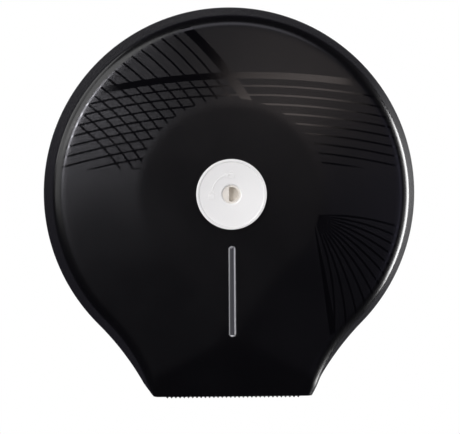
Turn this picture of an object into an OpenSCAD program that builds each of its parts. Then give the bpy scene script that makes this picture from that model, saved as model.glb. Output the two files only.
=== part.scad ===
// Jumbo toilet roll dispenser: a wall plate with a fixed post and a free roll hub, and a
// pin-shaped front cover that swings down on two pins and locks on the end of the post.
// Millimetres. The wall is the plane Y = 0, the front faces -Y, +Z is up, and the origin
// lies on the wall on the axis of the post and the lock.

/* [Cover outline] */
// Radius of the round part of the rim
body_r = 135; // [120:1:150]
// Radius of the hollow flanks under the round part
flank_r = 200; // [160:5:260]
// How far the lip hangs below the round part
lip_below = 3.5; // [2:0.5:14]
// Half width of the rim at the height of the lip
lip_half_w = 63.3; // [58:0.1:72]

/* [Cover form] */
// Distance from the wall to the flat middle of the front
front_depth = 116; // [112:1:130]
// Wall thickness of the cover
cover_wall = 2.6; // [2:0.1:3.2]
// Gap between the wall and the rear edge of the cover
rim_gap = 3; // [2.5:0.1:4]
// Depth at which the straight band of the rim ends
band_depth = 12; // [10:0.5:20]
// Inset of the shoulder from the rim, before rounding
shoulder_inset = 13.4; // [8:0.1:18]
// Radius of the rounded shoulder
shoulder_r = 8.5; // [5:0.5:12]
// Slope of the face from the shoulder to the flat middle
face_slope = 4.5; // [3:0.5:7]
// Radius of the flat middle round the lock
flat_r = 62; // [50:1:75]

/* [Chin] */
// Height above the lip at which the front starts to bend back
bend_lift = 49.5; // [40:0.5:60]
// Radius of that bend
bend_r = 121; // [80:1:160]
// Backward lean of the chin in degrees
chin_lean = 9; // [4:1:14]

/* [Window] */
// Width of the window slot
window_w = 5.2; // [4:0.1:8]
// Drop of its upper end below the lock axis
window_top = 35; // [32:0.5:45]
// Height of its lower end above the lip
window_lift = 41.1; // [34:0.1:60]
// How far the lens sits below the face
lens_sink = 0.7; // [0.3:0.1:1.2]
// Gap between the lens and the sides of the slot
lens_play = 0.1; // [0.05:0.05:0.3]
// Width of the lens flange past the slot
lens_lap = 1.8; // [1:0.1:3]
// Thickness of the lens flange
lens_flange_t = 1.4; // [1:0.1:2]

/* [Tear blade] */
// Number of teeth
teeth = 32; // [24:1:40]
// Distance from tooth to tooth
tooth_pitch = 2.9; // [2.4:0.1:3]
// Height of a tooth
tooth_h = 1.7; // [1:0.1:2.5]
// Width of a tooth's blunt tip
tooth_tip = 0.5; // [0.3:0.1:0.8]
// Height of the blade above the lip
blade_h = 11; // [10:0.5:16]
// Thickness of the blade
blade_t = 1.2; // [0.8:0.1:2]
// Thickness of the seat that the blade is screwed to
seat_t = 2; // [1.5:0.1:3]
// Distance between neighbouring blade screws
blade_screw_gap = 34; // [24:1:38]
// Height of the blade screws above the lip
blade_screw_y = 7; // [5:0.5:8]
// Shank radius of the blade screws
blade_screw_r = 1.2; // [1:0.1:1.4]
// Head radius of the blade screws
blade_head_r = 2.5; // [2.2:0.1:2.8]
// Head height of the blade screws
blade_head_h = 1.3; // [1:0.1:1.8]

/* [Hinge] */
// Distance from the wall to the hinge axis
hinge_depth = 10.5; // [10:0.5:13]
// Height of the hinge axis above the lip
hinge_rise = 8; // [7:0.5:9]
// Radius of a hinge pin
pin_r = 2.5; // [2:0.1:3]
// Radial clearance of a pin in the lug of the cover
pin_play = 0.05; // [0.02:0.01:0.09]
// Radius of the hinge lugs and ears
lug_r = 5.5; // [5:0.1:6]
// Inner face of an ear, from the middle plane
ear_x = 50; // [44:0.5:51]
// Thickness of an ear
ear_t = 5.6; // [4:0.1:6]
// Side gap between an ear and a lug
ear_gap = 0.4; // [0.3:0.1:0.8]
// Length of a lug's bore
lug_bore_l = 5.2; // [4:0.1:5.5]
// Head radius of a hinge pin
pin_head_r = 3.5; // [3:0.1:4]
// Head thickness of a hinge pin
pin_head_t = 1.2; // [0.8:0.1:2]
// Free length at the end of a hinge pin
pin_end_gap = 0.4; // [0.2:0.1:0.8]
// Radius about the hinge axis to which the lower rear corners are rounded
corner_round = 9.5; // [8.5:0.1:10]

/* [Back plate] */
// Thickness of the plate
plate_t = 3; // [2:0.5:3]
// Gap between the cover wall and the plate's rim
plate_gap = 1.2; // [1.1:0.1:2]
// Thickness of the plate's rim
rim_t = 2; // [1.5:0.1:3]
// Height of the plate's rim above the wall
rim_h = 11; // [8:0.5:12]
// Height above the lip at which the rim ends
rim_lift = 42.5; // [36:0.5:56]
// How far the full width of the plate goes on below the rim
skirt = 20; // [12:1:26]
// Thickness of the ribs
rib_t = 1.8; // [1.2:0.1:2.5]
// Height of the ribs above the plate
rib_h = 4.5; // [3:0.5:5.5]
// Radius of the ring rib
ring_rib_r = 84; // [70:1:86]
// Number of ribs that spread from the middle
ribs = 8; // [8:8:16]
// Half of the distance between the two ribs in the neck
neck_rib_x = 30; // [20:1:40]
// Height of the lower ends of those ribs above the lip
neck_rib_end = 10; // [8:1:20]

/* [Wall screws] */
// Distance between the slots, across
slot_gap_x = 140; // [130:1:150]
// Distance between the slots, up and down
slot_gap_z = 140; // [130:1:150]
// Width of a slot
slot_w = 5.2; // [4.2:0.1:6]
// Length of a slot
slot_l = 9; // [7:0.5:12]
// Margin of the pad round a slot
pad_margin = 5; // [3:0.5:6]
// Height of the pad above the plate
pad_h = 1.5; // [1:0.5:3]

/* [Post and hub] */
// Outer radius of the post
post_r = 22; // [21:0.5:22]
// Wall thickness of the post
post_wall = 3; // [2:0.5:3]
// Thickness of the boss on the plate under the post
boss_h = 3; // [2:0.5:4]
// Width of that boss past the post's flange
boss_edge = 2; // [1:0.5:4]
// Radius of the post's flange
flange_r = 32; // [30:0.5:36]
// Thickness of the post's flange
flange_t = 4; // [3:0.5:5]
// Distance from the front to the end of the post
post_short = 18; // [18:0.5:24]
// Thickness of the thrust washer under the hub
washer_t = 1; // [0.5:0.1:2]
// Width of the thrust washer's ring
washer_w = 4.5; // [3:0.1:4.8]
// Radial clearance of the hub on the post
hub_play = 0.08; // [0.02:0.01:0.1]
// Outer radius of the hub, which the roll's core slides over
hub_r = 27; // [26.5:0.1:28.5]
// Wall thickness of the hub
hub_wall = 1.8; // [1.4:0.1:2.4]
// Length of the bearing ring at each end of the hub
bearing_l = 9; // [6:0.5:14]
// Number of ribs between the bearing rings
hub_ribs = 6; // [4:1:10]
// Thickness of a rib in the hub
hub_rib_w = 1.6; // [1.2:0.1:2.4]
// Length of the tapered nose of the hub
nose_l = 4; // [2:0.5:6]
// Radius of the hub's rear flange
hub_flange_r = 43; // [38:0.5:50]
// Thickness of the hub's rear flange
hub_flange_t = 2; // [1.5:0.1:3]
// Radius of the holes in the hub's rear flange
hub_hole_r = 4.6; // [3:0.1:5]
// Number of those holes
hub_holes = 6; // [4:1:8]
// End clearance of the hub, at each end
hub_float = 0.3; // [0.2:0.1:0.8]

/* [Post screws] */
// Distance of the post screws from the axis
post_screw_ring = 27; // [26:0.5:27.5]
// Shank radius of the post screws
post_screw_r = 1.7; // [1.4:0.1:2]
// Head radius of the post screws
post_head_r = 3.4; // [3:0.1:3.6]
// Thickness of plate left under the screw holes
post_screw_floor = 1; // [0.8:0.1:1.5]

/* [Catch] */
// Radius of the catch plate
catch_r = 25; // [24:0.1:26]
// Thickness of the catch plate
catch_t = 3; // [2:0.5:3.5]
// Distance of the catch screws from the axis
catch_screw_x = 14.6; // [14.4:0.1:15]
// Shank radius of the catch screws
catch_screw_r = 1.4; // [1.2:0.1:1.5]
// Head radius of the catch screws
catch_head_r = 2.8; // [2.4:0.1:2.8]
// Head height of the catch screws
catch_head_h = 1.8; // [1.2:0.1:2]
// Length of the catch screws in the post
catch_screw_l = 10; // [8:0.5:11]
// Length of the screw bosses in the post
catch_boss_l = 14; // [12:0.5:20]
// Width of the screw bosses
catch_boss_w = 8; // [6:0.5:10]
// Thickness of boss inside the screw holes
catch_boss_wall = 1.7; // [1.2:0.1:2]
// Room on each side of the cam in the slot
cam_room = 1; // [0.6:0.1:1.4]
// Room below the cam for the swing of the cover
swing_room = 8.5; // [8:0.5:9]

/* [Lock] */
// Radius of the lock bezel
bezel_r = 24; // [22:0.5:26]
// Thickness of the bezel's disc
bezel_t = 2.2; // [1.8:0.1:3]
// Height of the bezel's raised edge
bezel_edge_h = 0.6; // [0.3:0.1:1]
// Width of the bezel's raised edge
bezel_edge_w = 1.7; // [1:0.1:2.5]
// Outer radius of the barrel
barrel_r = 12; // [11:0.5:13]
// Length of the barrel behind the front
barrel_l = 11.8; // [11:0.1:11.8]
// Clearance of the barrel in the cover
barrel_gap = 0.2; // [0.1:0.05:0.4]
// Radius of the keyhole
keyhole_r = 6.1; // [5:0.1:7]
// Width of the keyhole's chamfer
keyhole_chamfer = 1; // [0.5:0.1:1.4]
// Outer radius of the ring nut
nut_r = 18; // [16:0.5:20]
// Thickness of the ring nut
nut_t = 3.4; // [2.5:0.1:4]
// Number of spanner notches in the ring nut
nut_notches = 6; // [4:1:8]
// Radius of a notch
nut_notch_r = 2; // [1.5:0.1:3]
// Gap between the nut and the collar of the cover that shields it
collar_gap = 2; // [1:0.5:3]
// Thickness of that collar
collar_t = 2; // [1.5:0.1:3]
// Height of that collar
collar_h = 5; // [4:0.5:6]
// Radius of the lock plug
plug_r = 8; // [7.5:0.1:9]
// Radial clearance of the plug in the barrel
plug_play = 0.06; // [0.02:0.01:0.1]
// Thickness of the bezel in front of the plug
plug_cover = 1; // [0.8:0.1:1.5]
// Radius of the key socket
socket_r = 4.9; // [4:0.1:5.4]
// Distance of the socket's flat from the axis
socket_flat = 1.7; // [1:0.1:3]
// Depth of the key socket
socket_depth = 6.5; // [4:0.5:7]
// Radius of the stem behind the plug
stem_r = 4; // [3.5:0.1:4.2]
// Side of the square that drives the cam
square_w = 5.6; // [4.6:0.1:5.6]
// Half length of the cam
cam_l = 9.5; // [8:0.1:9.5]
// Width of the cam
cam_w = 7; // [6.6:0.1:8]
// Thickness of the cam
cam_t = 4; // [3:0.5:4.5]
// Gap between the cam and the catch plate
cam_gap = 1; // [0.6:0.1:1.5]
// Thickness of the spring washer
spring_t = 1; // [0.6:0.1:1.2]
// Thickness of the circlip
clip_t = 1; // [0.6:0.1:1.2]
// Bite of the circlip into the barrel
clip_bite = 0.8; // [0.5:0.1:1]
// Distance of the circlip's groove from the end of the barrel
clip_inset = 0.8; // [0.6:0.1:1.2]
// Width of the circlip's ring inside the bore
clip_w = 1.8; // [1.2:0.1:2.2]
// Gap between the ends of the circlip
clip_opening = 3.2; // [2:0.1:5]
// Shank radius of the cam screw
cam_screw_r = 1.5; // [1.2:0.1:1.6]
// Length of the cam screw's shank
cam_screw_l = 7.5; // [6:0.5:9]
// Head radius of the cam screw
cam_head_r = 3.3; // [3:0.1:3.4]
// Head height of the cam screw
cam_head_h = 2.2; // [1.5:0.1:2.4]

/* [Hidden] */
$fn = 96;
eps = 0.01;
shoulder_steps = 8;
bend_steps = 5;
seam_lap = 0.05;
seam_hair = 0.004;
skin = 1;
hair = 0.1;
// Depth behind the front at which the cuts for the window and the lens start
lens_reach = 9;

// Outline: the flank circles touch the round part and pass through the corners of the lip
lip_drop = body_r + lip_below;
window_bottom = lip_drop - window_lift;
lip_corner = [lip_half_w, -lip_drop];
corner_dist = norm(lip_corner);
flank_dist = body_r + flank_r;
along = (corner_dist * corner_dist + flank_dist * flank_dist - flank_r * flank_r) / (2 * corner_dist);
across = sqrt(flank_dist * flank_dist - along * along);
corner_dir = lip_corner / corner_dist;
flank_c = along * corner_dir + across * [-corner_dir.y, corner_dir.x];
neck_a = atan2(flank_c.y, flank_c.x);

// Cross section of the cover edge, as inset from the outline against depth
corner_p = front_depth - (body_r - flat_r - shoulder_inset) * tan(face_slope);
side_a = atan2(shoulder_inset, corner_p - band_depth);
side_n = [cos(side_a), -sin(side_a)];
face_n = [sin(face_slope), -cos(face_slope)];
round_c = [shoulder_inset, corner_p] + shoulder_r * (side_n + face_n) / (1 + side_n * face_n);
apex_p = corner_p + (body_r - shoulder_inset) * tan(face_slope);

// Chin
bend_drop = lip_drop - bend_lift;
bend_c = [-bend_drop, front_depth - bend_r];
lens_room = front_depth - lens_reach;

// Stack along the lock axis, as distances from the wall
post_end = front_depth - post_short;
plug_front = front_depth + bezel_t - plug_cover - hair;
barrel_end = front_depth - barrel_l;
clip_back = barrel_end + clip_inset;
spring_back = clip_back + clip_t;
plug_back = spring_back + spring_t;
nut_front = front_depth - cover_wall;
catch_front = post_end + catch_t;
cam_front = post_end - cam_gap;
cam_back = cam_front - cam_t;

// Back plate
plate_inset = cover_wall + plate_gap;
rim_end = lip_drop - rim_lift;
corner_cut = rim_end + skirt;
neck_rib_top = sqrt(ring_rib_r * ring_rib_r - neck_rib_x * neck_rib_x);

// Post and hub
flange_back = plate_t + boss_h;
flange_front = flange_back + flange_t;
post_head_back = flange_front - post_head_r + post_screw_r;
hub_back = flange_front + washer_t + hub_float;
hub_front = post_end - hub_float;
hub_bore_r = post_r + hub_play;
post_bore_r = post_r - post_wall;
slot_half_w = cam_w / 2 + cam_room;
slot_top = cam_l + cam_room;
slot_bottom = cam_l + swing_room;
catch_boss_x = catch_screw_x - catch_screw_r - catch_boss_wall;
boss_start = post_end - catch_boss_l;

// Hinge
hinge_z = hinge_rise - lip_drop;
lug_x = ear_x + ear_t + ear_gap;
pin_l = ear_t + ear_gap + lug_bore_l - pin_end_gap;
ear_h = 3 * lug_r;

// Blade
blade_w = teeth * tooth_pitch;
inner_lip_p = front_depth - bend_r + (bend_r - cover_wall) * cos(chin_lean)
    - (lip_drop - bend_drop - (bend_r - cover_wall) * sin(chin_lean)) * tan(chin_lean);
blade_back = -seat_t - blade_t;
tooth_side = (tooth_pitch - tooth_tip) / 2;

// Turns a piece that is drawn flat on the wall upright: its height becomes the depth
module stand() {
    rotate([90, 0, 0]) children();
}

// Cross section of the filled cover edge, with a wall of thickness t taken off
module edge_section(t, from, reach) {
    r = max(0.2, shoulder_r - t);
    turn = 90 - side_a - face_slope;
    polygon(concat(
        [[t, from], [t, band_depth - t * tan(side_a / 2)]],
        [for (i = [0 : shoulder_steps]) let (a = 180 - side_a - i * turn / shoulder_steps)
            round_c + r * [cos(a), sin(a)]],
        [[reach, apex_p + (reach - body_r) * tan(face_slope) - t / cos(face_slope)], [reach, from]]
    ));
}

// Area of the neck: between the lines from the axis to the flank centres, with a blunt top that
// lies inside the round part
module neck_area() {
    k = -1.05 * lip_drop / flank_c.y;
    polygon([
        [0, body_r / 6], flank_c / 10, k * flank_c, [-k * flank_c.x, k * flank_c.y],
        [-flank_c.x / 10, flank_c.y / 10]
    ]);
}

// Room outside the right-hand flank: the edge's cross section swept about the flank centre
module flank_room(t, from, top) {
    translate([flank_c.x, flank_c.y, 0]) rotate(120) rotate_extrude(angle = 55, $fn = 360)
        difference() {
            translate([flank_r / 2, from - skin]) square([flank_r / 2 + body_r, top - from + 2 * skin]);
            translate([flank_r, 0]) edge_section(t, from - 2 * skin, body_r + 2 * skin);
        }
}

// Filled pin shape of the cover, with a wall of thickness t taken off. The round part laps
// the neck by a hair, so that the two join as one solid.
module pin_form(t, from) {
    top = front_depth + skin;
    rotate(neck_a - seam_lap) rotate_extrude(angle = 180 - 2 * neck_a + 2 * seam_lap, $fn = 180)
        translate([body_r, 0]) mirror([1, 0]) edge_section(t - seam_hair, from, body_r);
    difference() {
        translate([0, 0, from]) linear_extrude(top - from) neck_area();
        flank_room(t, from, top);
        mirror([1, 0, 0]) flank_room(t, from, top);
    }
}

// Side view of the front: flat, then a bend and the straight chin down to the given drop. The
// plane at the given depth closes it at the back.
module chin_section(t, drop, from) {
    r = bend_r - t;
    bend_end = bend_c + r * [-sin(chin_lean), cos(chin_lean)];
    high = body_r + skin;
    polygon(concat(
        [[high, from], [high, front_depth - t]],
        [for (i = [0 : bend_steps]) let (a = 90 + i * chin_lean / bend_steps)
            bend_c + r * [cos(a), sin(a)]],
        [[-drop, bend_end.y - (drop + bend_end.x) * tan(chin_lean)], [-drop, from]]
    ));
}

module chin_form(t, drop, from) {
    rotate([90, 0, 90]) linear_extrude(2 * flank_c.x, center = true) chin_section(t, drop, from);
}

// Filled cover, with a wall of thickness t taken off and open at the back and below
module cover_form(t, open) {
    intersection() {
        pin_form(t, 0);
        chin_form(t, lip_drop + open, rim_gap - open);
    }
}

// Outline of the cover, drawn inset. The neck stands proud of the round part by a hair, so
// that the two cross where they would only touch.
module pin_outline(inset) {
    circle(body_r - inset, $fn = 180);
    difference() {
        neck_area();
        for (side = [-1, 1])
            translate([side * flank_c.x, flank_c.y]) circle(flank_r + inset - eps, $fn = 360);
        translate([-flank_dist, -2 * flank_dist - lip_drop]) square(2 * flank_dist);
    }
}

// Disc or cylinder between two depths
module rod(r, from, to) {
    translate([0, 0, from]) cylinder(r = r, h = to - from);
}

module ring(outer, inner, from, to) {
    difference() {
        rod(outer, from, to);
        rod(inner, from - eps, to + eps);
    }
}

// Upright slot with round ends, centred on x = 0
module slot_prism(half_w, top, bottom, from, to) {
    translate([0, 0, from]) linear_extrude(to - from) {
        translate([-half_w, half_w - bottom]) square([2 * half_w, bottom - top - 2 * half_w]);
        translate([0, -top - half_w]) circle(half_w, $fn = 48);
        translate([0, half_w - bottom]) circle(half_w, $fn = 48);
    }
}

// Cylinder along X on the hinge axis, on one side of the middle plane
module hinge_rod(side, r, from, to) {
    translate([side * (from + to) / 2, hinge_z, hinge_depth])
        rotate([0, 90, 0]) cylinder(r = r, h = to - from, center = true, $fn = 48);
}

// Frame of the chin's inner face at the lip: x across, y up the chin, z out
module on_chin() {
    translate([0, -lip_drop, inner_lip_p]) rotate([chin_lean, 0, 0]) children();
}

module blade_screw_places() {
    for (i = [-1, 0, 1]) translate([i * blade_screw_gap, blade_screw_y, 0]) children();
}

module post_screw_places() {
    for (i = [0 : 3]) rotate(45 + i * 90) translate([post_screw_ring, 0, 0]) children();
}

// Countersunk head of a post screw, or the room for it
module post_screw_head(extra) {
    h = flange_front - post_head_back + extra;
    translate([0, 0, post_head_back])
        cylinder(r1 = post_screw_r, r2 = post_head_r + extra, h = h, $fn = 48);
}

module catch_screw_places() {
    for (side = [-1, 1]) translate([side * catch_screw_x, 0, 0]) children();
}

module wall_slot_places() {
    for (sx = [-1, 1], sy = [-1, 1])
        translate([sx * slot_gap_x / 2, sy * slot_gap_z / 2, 0]) children();
}

// Slot or pad outline along X with round ends
module long_hole(half_l, r) {
    square([2 * (half_l - r), 2 * r], center = true);
    for (side = [-1, 1]) translate([side * (half_l - r), 0]) circle(r, $fn = 48);
}

// Area of the plate: the outline with both lower corners cut away for the hinge lugs
module plate_area(inset) {
    neck_x = ear_x + ear_t;
    difference() {
        pin_outline(inset);
        for (side = [0, 1]) mirror([side, 0, 0])
            translate([neck_x, -flank_dist - corner_cut]) square(flank_dist);
        translate([-flank_dist, hinge_z - lug_r - flank_dist]) square([2 * flank_dist, flank_dist]);
    }
}

module plate_ribs() {
    foot = lip_drop - neck_rib_end;
    intersection() {
        translate([0, 0, plate_t - eps]) linear_extrude(rib_h + eps)
            plate_area(plate_inset + rim_t / 2);
        union() {
            ring(ring_rib_r + rib_t / 2, ring_rib_r - rib_t / 2, 0, rim_h);
            for (i = [0 : ribs - 1]) rotate(180 / ribs + i * 360 / ribs)
                translate([flange_r, -rib_t / 2, 0]) cube([body_r, rib_t, rim_h]);
            for (side = [-1, 1]) translate([side * neck_rib_x - rib_t / 2, -foot, 0])
                cube([rib_t, foot - neck_rib_top, rim_h]);
        }
    }
}

module hinge_ear(side) {
    intersection() {
        translate([side * (ear_x + ear_t / 2) - ear_t / 2, hinge_z - lug_r, 0])
            cube([ear_t, ear_h, hinge_depth + lug_r]);
        union() {
            hinge_rod(side, lug_r, ear_x, ear_x + ear_t);
            translate([-flank_dist, hinge_z - lug_r, 0])
                cube([2 * flank_dist, ear_h, hinge_depth]);
        }
    }
}

module back_plate() {
    color("#26272a") stand() difference() {
        union() {
            linear_extrude(plate_t) plate_area(plate_inset);
            intersection() {
                translate([0, 0, plate_t - eps]) linear_extrude(rim_h - plate_t + eps)
                    difference() {
                        pin_outline(plate_inset);
                        pin_outline(plate_inset + rim_t);
                    }
                translate([-body_r, -rim_end, 0]) cube([2 * body_r, rim_end + body_r, rim_h]);
            }
            plate_ribs();
            rod(flange_r + boss_edge, plate_t - eps, flange_back);
            wall_slot_places() translate([0, 0, plate_t - eps]) linear_extrude(pad_h + eps)
                long_hole(slot_l / 2 + pad_margin, slot_w / 2 + pad_margin);
            for (side = [-1, 1]) hinge_ear(side);
        }
        wall_slot_places() translate([0, 0, -skin])
            linear_extrude(plate_t + pad_h + 2 * skin) long_hole(slot_l / 2, slot_w / 2);
        post_screw_places() rod(post_screw_r, post_screw_floor, flange_front);
        for (side = [-1, 1]) hinge_rod(side, pin_r, ear_x - skin, ear_x + ear_t + skin);
    }
}

module spindle_post() {
    color("#e4e4e0") stand() difference() {
        union() {
            difference() {
                union() {
                    rod(flange_r, flange_back, flange_front);
                    rod(post_r, flange_back, post_end);
                }
                rod(post_bore_r, flange_back - skin, post_end + skin);
            }
            intersection() {
                rod(post_r - eps, boss_start, post_end);
                for (side = [0, 1]) mirror([side, 0, 0])
                    translate([catch_boss_x, -catch_boss_w / 2, boss_start])
                        cube([post_r, catch_boss_w, catch_boss_l]);
            }
        }
        post_screw_places() {
            rod(post_screw_r, flange_back - skin, flange_front + skin);
            post_screw_head(eps);
        }
        catch_screw_places() rod(catch_screw_r, boss_start + 2 * skin, post_end + skin);
    }
}

module post_screws() {
    color("#c8c8cc") stand() post_screw_places() {
        rod(post_screw_r, post_screw_floor + skin / 2, post_head_back + eps);
        post_screw_head(0);
    }
}

module thrust_washer() {
    color("#f2f2ec") stand()
        ring(hub_bore_r + hair + washer_w, hub_bore_r + hair, flange_front, flange_front + washer_t);
}

module catch_plate() {
    color("#b9bbbe") stand() difference() {
        rod(catch_r, post_end, catch_front);
        translate([-slot_half_w, -slot_bottom, post_end - skin])
            cube([2 * slot_half_w, slot_top + slot_bottom, catch_t + 2 * skin]);
        catch_screw_places() rod(catch_screw_r, post_end - skin, catch_front + skin);
    }
}

module catch_screws() {
    color("#c8c8cc") stand() catch_screw_places() {
        rod(catch_screw_r, post_end - catch_screw_l, catch_front + eps);
        rod(catch_head_r, catch_front, catch_front + catch_head_h);
    }
}

module hinge_pin(side) {
    color("#c8c8cc") stand() {
        hinge_rod(side, pin_r, ear_x, ear_x + pin_l);
        hinge_rod(side, pin_head_r, ear_x - pin_head_t, ear_x);
    }
}

module roll_hub() {
    inner_r = hub_r - hub_wall;
    hole_ring = (hub_r + hub_flange_r) / 2;
    color("#e4e4e0") stand() difference() {
        union() {
            rod(hub_r, hub_back, hub_front - nose_l);
            translate([0, 0, hub_front - nose_l])
                cylinder(r1 = hub_r, r2 = inner_r, h = nose_l);
            rod(hub_flange_r, hub_back, hub_back + hub_flange_t);
        }
        rod(hub_bore_r, hub_back - skin, hub_front + skin);
        difference() {
            rod(inner_r, hub_back + bearing_l, hub_front - bearing_l);
            for (i = [0 : hub_ribs - 1]) rotate(i * 360 / hub_ribs)
                translate([0, -hub_rib_w / 2, hub_back]) cube([hub_r, hub_rib_w, hub_front]);
        }
        for (i = [0 : hub_holes - 1]) rotate((i + 0.5) * 360 / hub_holes) translate([hole_ring, 0, 0])
            rod(hub_hole_r, hub_back - skin, hub_back + hub_flange_t + skin);
    }
}

module hinge_lug(side) {
    intersection() {
        hinge_rod(side, lug_r, lug_x, body_r / 2 + lug_x / 2);
        cover_form(cover_wall / 2, skin);
    }
}

// The lower rear corners are rounded about the hinge axis, so that they clear the wall
module rear_corners() {
    difference() {
        translate([-body_r, -lip_drop - skin, 0])
            cube([2 * body_r, hinge_rise + skin, hinge_depth]);
        translate([0, hinge_z, hinge_depth]) rotate([0, 90, 0])
            cylinder(r = corner_round, h = 3 * body_r, center = true, $fn = 96);
    }
}

module front_cover() {
    collar_r = nut_r + collar_gap;
    inner_face = front_depth - cover_wall;
    color("#131315") stand() difference() {
        union() {
            difference() {
                cover_form(0, 0);
                cover_form(cover_wall, skin);
            }
            ring(collar_r + collar_t, collar_r, inner_face - collar_h, front_depth - cover_wall / 2);
            for (side = [-1, 1]) hinge_lug(side);
            on_chin() translate([-blade_w / 2, skin, -seat_t])
                cube([blade_w, blade_h + skin, seat_t + cover_wall / 2]);
        }
        rear_corners();
        rod(barrel_r + barrel_gap, inner_face - skin, front_depth + skin);
        slot_prism(window_w / 2, window_top, window_bottom, lens_room, front_depth + skin);
        for (side = [-1, 1]) hinge_rod(side, pin_r + pin_play, lug_x - skin, lug_x + lug_bore_l);
        on_chin() blade_screw_places() rod(blade_screw_r, -seat_t - skin, blade_screw_r);
    }
}

module window_lens() {
    half_w = window_w / 2;
    color("#9aa0a4", 0.6) stand() difference() {
        union() {
            intersection() {
                slot_prism(half_w - lens_play, window_top + lens_play, window_bottom - lens_play,
                    lens_room, front_depth);
                chin_form(lens_sink, lip_drop, 0);
            }
            intersection() {
                slot_prism(half_w + lens_lap, window_top - lens_lap, window_bottom + lens_lap,
                    lens_room, front_depth);
                cover_form(cover_wall, skin);
            }
        }
        chin_form(cover_wall + lens_flange_t, lip_drop, 0);
    }
}

module tear_blade() {
    color("#1b1b1d") stand() on_chin() difference() {
        translate([0, 0, blade_back]) linear_extrude(blade_t) {
            translate([-blade_w / 2, 0]) square([blade_w, blade_h]);
            for (i = [0 : teeth - 1]) translate([(i - teeth / 2) * tooth_pitch, 0])
                polygon([
                    [0, eps], [tooth_side, -tooth_h], [tooth_pitch - tooth_side, -tooth_h],
                    [tooth_pitch, eps]
                ]);
        }
        blade_screw_places() rod(blade_screw_r + hair, blade_back - skin, 0);
    }
}

module blade_screws() {
    color("#c8c8cc") stand() on_chin() blade_screw_places() {
        rod(blade_screw_r, blade_back - eps, blade_screw_r / 2);
        rod(blade_head_r, blade_back - blade_head_h, blade_back);
    }
}

module lock_bezel() {
    face = front_depth + bezel_t;
    shoulder = face - plug_cover;
    color("#f1f1ec") stand() difference() {
        union() {
            rod(bezel_r, front_depth, face + bezel_edge_h);
            rod(barrel_r, barrel_end, front_depth + eps);
        }
        rod(bezel_r - bezel_edge_w, face, face + bezel_edge_h + skin);
        rod(plug_r + plug_play, barrel_end - skin, shoulder);
        rod(keyhole_r, shoulder - eps, face + skin);
        translate([0, 0, face - keyhole_chamfer])
            cylinder(r1 = keyhole_r, r2 = keyhole_r + keyhole_chamfer + eps, h = keyhole_chamfer + eps);
        rod(plug_r + plug_play + clip_bite, clip_back, clip_back + clip_t);
    }
}

module ring_nut() {
    color("#e4e4e0") stand() difference() {
        ring(nut_r, barrel_r + hair / 2, nut_front - nut_t, nut_front);
        for (i = [0 : nut_notches - 1]) rotate(i * 360 / nut_notches) translate([nut_r, 0, 0])
            rod(nut_notch_r, nut_front - nut_t - skin, nut_front + skin);
    }
}

module spring_washer() {
    color("#b9bbbe") stand()
        ring(plug_r - hair, stem_r + 3 * hair, spring_back, spring_back + spring_t);
}

module circlip() {
    color("#55585c") stand() difference() {
        ring(plug_r + clip_bite, plug_r - clip_w, clip_back + 2 * eps, clip_back + clip_t - 2 * eps);
        translate([-clip_opening / 2, 0, clip_back - skin])
            cube([clip_opening, 2 * plug_r, clip_t + 2 * skin]);
    }
}

module lock_plug() {
    color("#d9cfb8") stand() difference() {
        union() {
            rod(plug_r, plug_back, plug_front);
            rod(stem_r, cam_front, plug_back + eps);
            translate([0, 0, (cam_back + cam_front) / 2])
                cube([square_w, square_w, cam_t + eps], center = true);
        }
        intersection() {
            rod(socket_r, plug_front - socket_depth, plug_front + skin);
            translate([-socket_flat, -plug_r, 0]) cube([2 * plug_r, 2 * plug_r, 2 * front_depth]);
        }
        rod(cam_screw_r, cam_back - skin, cam_back + cam_screw_l + skin / 2);
    }
}

module lock_cam() {
    color("#d0d2d4") stand() difference() {
        intersection() {
            translate([-cam_w / 2, -cam_l, cam_back]) cube([cam_w, 2 * cam_l, cam_t]);
            rod(cam_l, cam_back - skin, cam_front + skin);
        }
        translate([0, 0, (cam_back + cam_front) / 2])
            cube([square_w + hair, square_w + hair, cam_t + 2 * skin], center = true);
    }
}

module cam_screw() {
    color("#c8c8cc") stand() {
        rod(cam_screw_r, cam_back - eps, cam_back + cam_screw_l);
        rod(cam_head_r, cam_back - cam_head_h, cam_back - eps);
    }
}

back_plate();
spindle_post();
post_screws();
thrust_washer();
catch_plate();
catch_screws();
hinge_pin(-1);  // hinge_pin_left
hinge_pin(1);  // hinge_pin_right
roll_hub();
front_cover();
window_lens();
tear_blade();
blade_screws();
lock_bezel();
ring_nut();
spring_washer();
circlip();
lock_plug();
lock_cam();
cam_screw();
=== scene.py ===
# %% [markdown]
# # A jumbo toilet roll dispenser
# The real thing is a black moulded cover over a wall plate. A big roll spins on a hub inside,
# the cover swings down on two pins in its lip, and a round white lock holds it shut. The frame
# that is loaded here carries the true sizes and the joints, and each cell after it dresses one
# piece. Everything is in metres, with X across, Y into the wall and Z up.

# %% Load the frame
import math

import bmesh
import bpy
from mathutils import Matrix, Vector


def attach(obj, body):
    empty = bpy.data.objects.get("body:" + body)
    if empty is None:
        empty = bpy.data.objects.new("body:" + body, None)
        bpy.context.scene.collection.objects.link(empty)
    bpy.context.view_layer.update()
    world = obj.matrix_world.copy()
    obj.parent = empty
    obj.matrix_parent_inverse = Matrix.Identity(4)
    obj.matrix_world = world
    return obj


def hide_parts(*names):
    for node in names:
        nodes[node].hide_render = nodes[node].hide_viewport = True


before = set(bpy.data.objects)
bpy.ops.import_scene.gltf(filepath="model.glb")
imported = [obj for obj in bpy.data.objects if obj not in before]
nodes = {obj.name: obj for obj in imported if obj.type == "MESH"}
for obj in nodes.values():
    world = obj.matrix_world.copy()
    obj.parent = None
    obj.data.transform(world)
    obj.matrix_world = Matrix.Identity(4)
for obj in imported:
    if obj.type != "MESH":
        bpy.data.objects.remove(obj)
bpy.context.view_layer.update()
MM = 0.001

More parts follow.
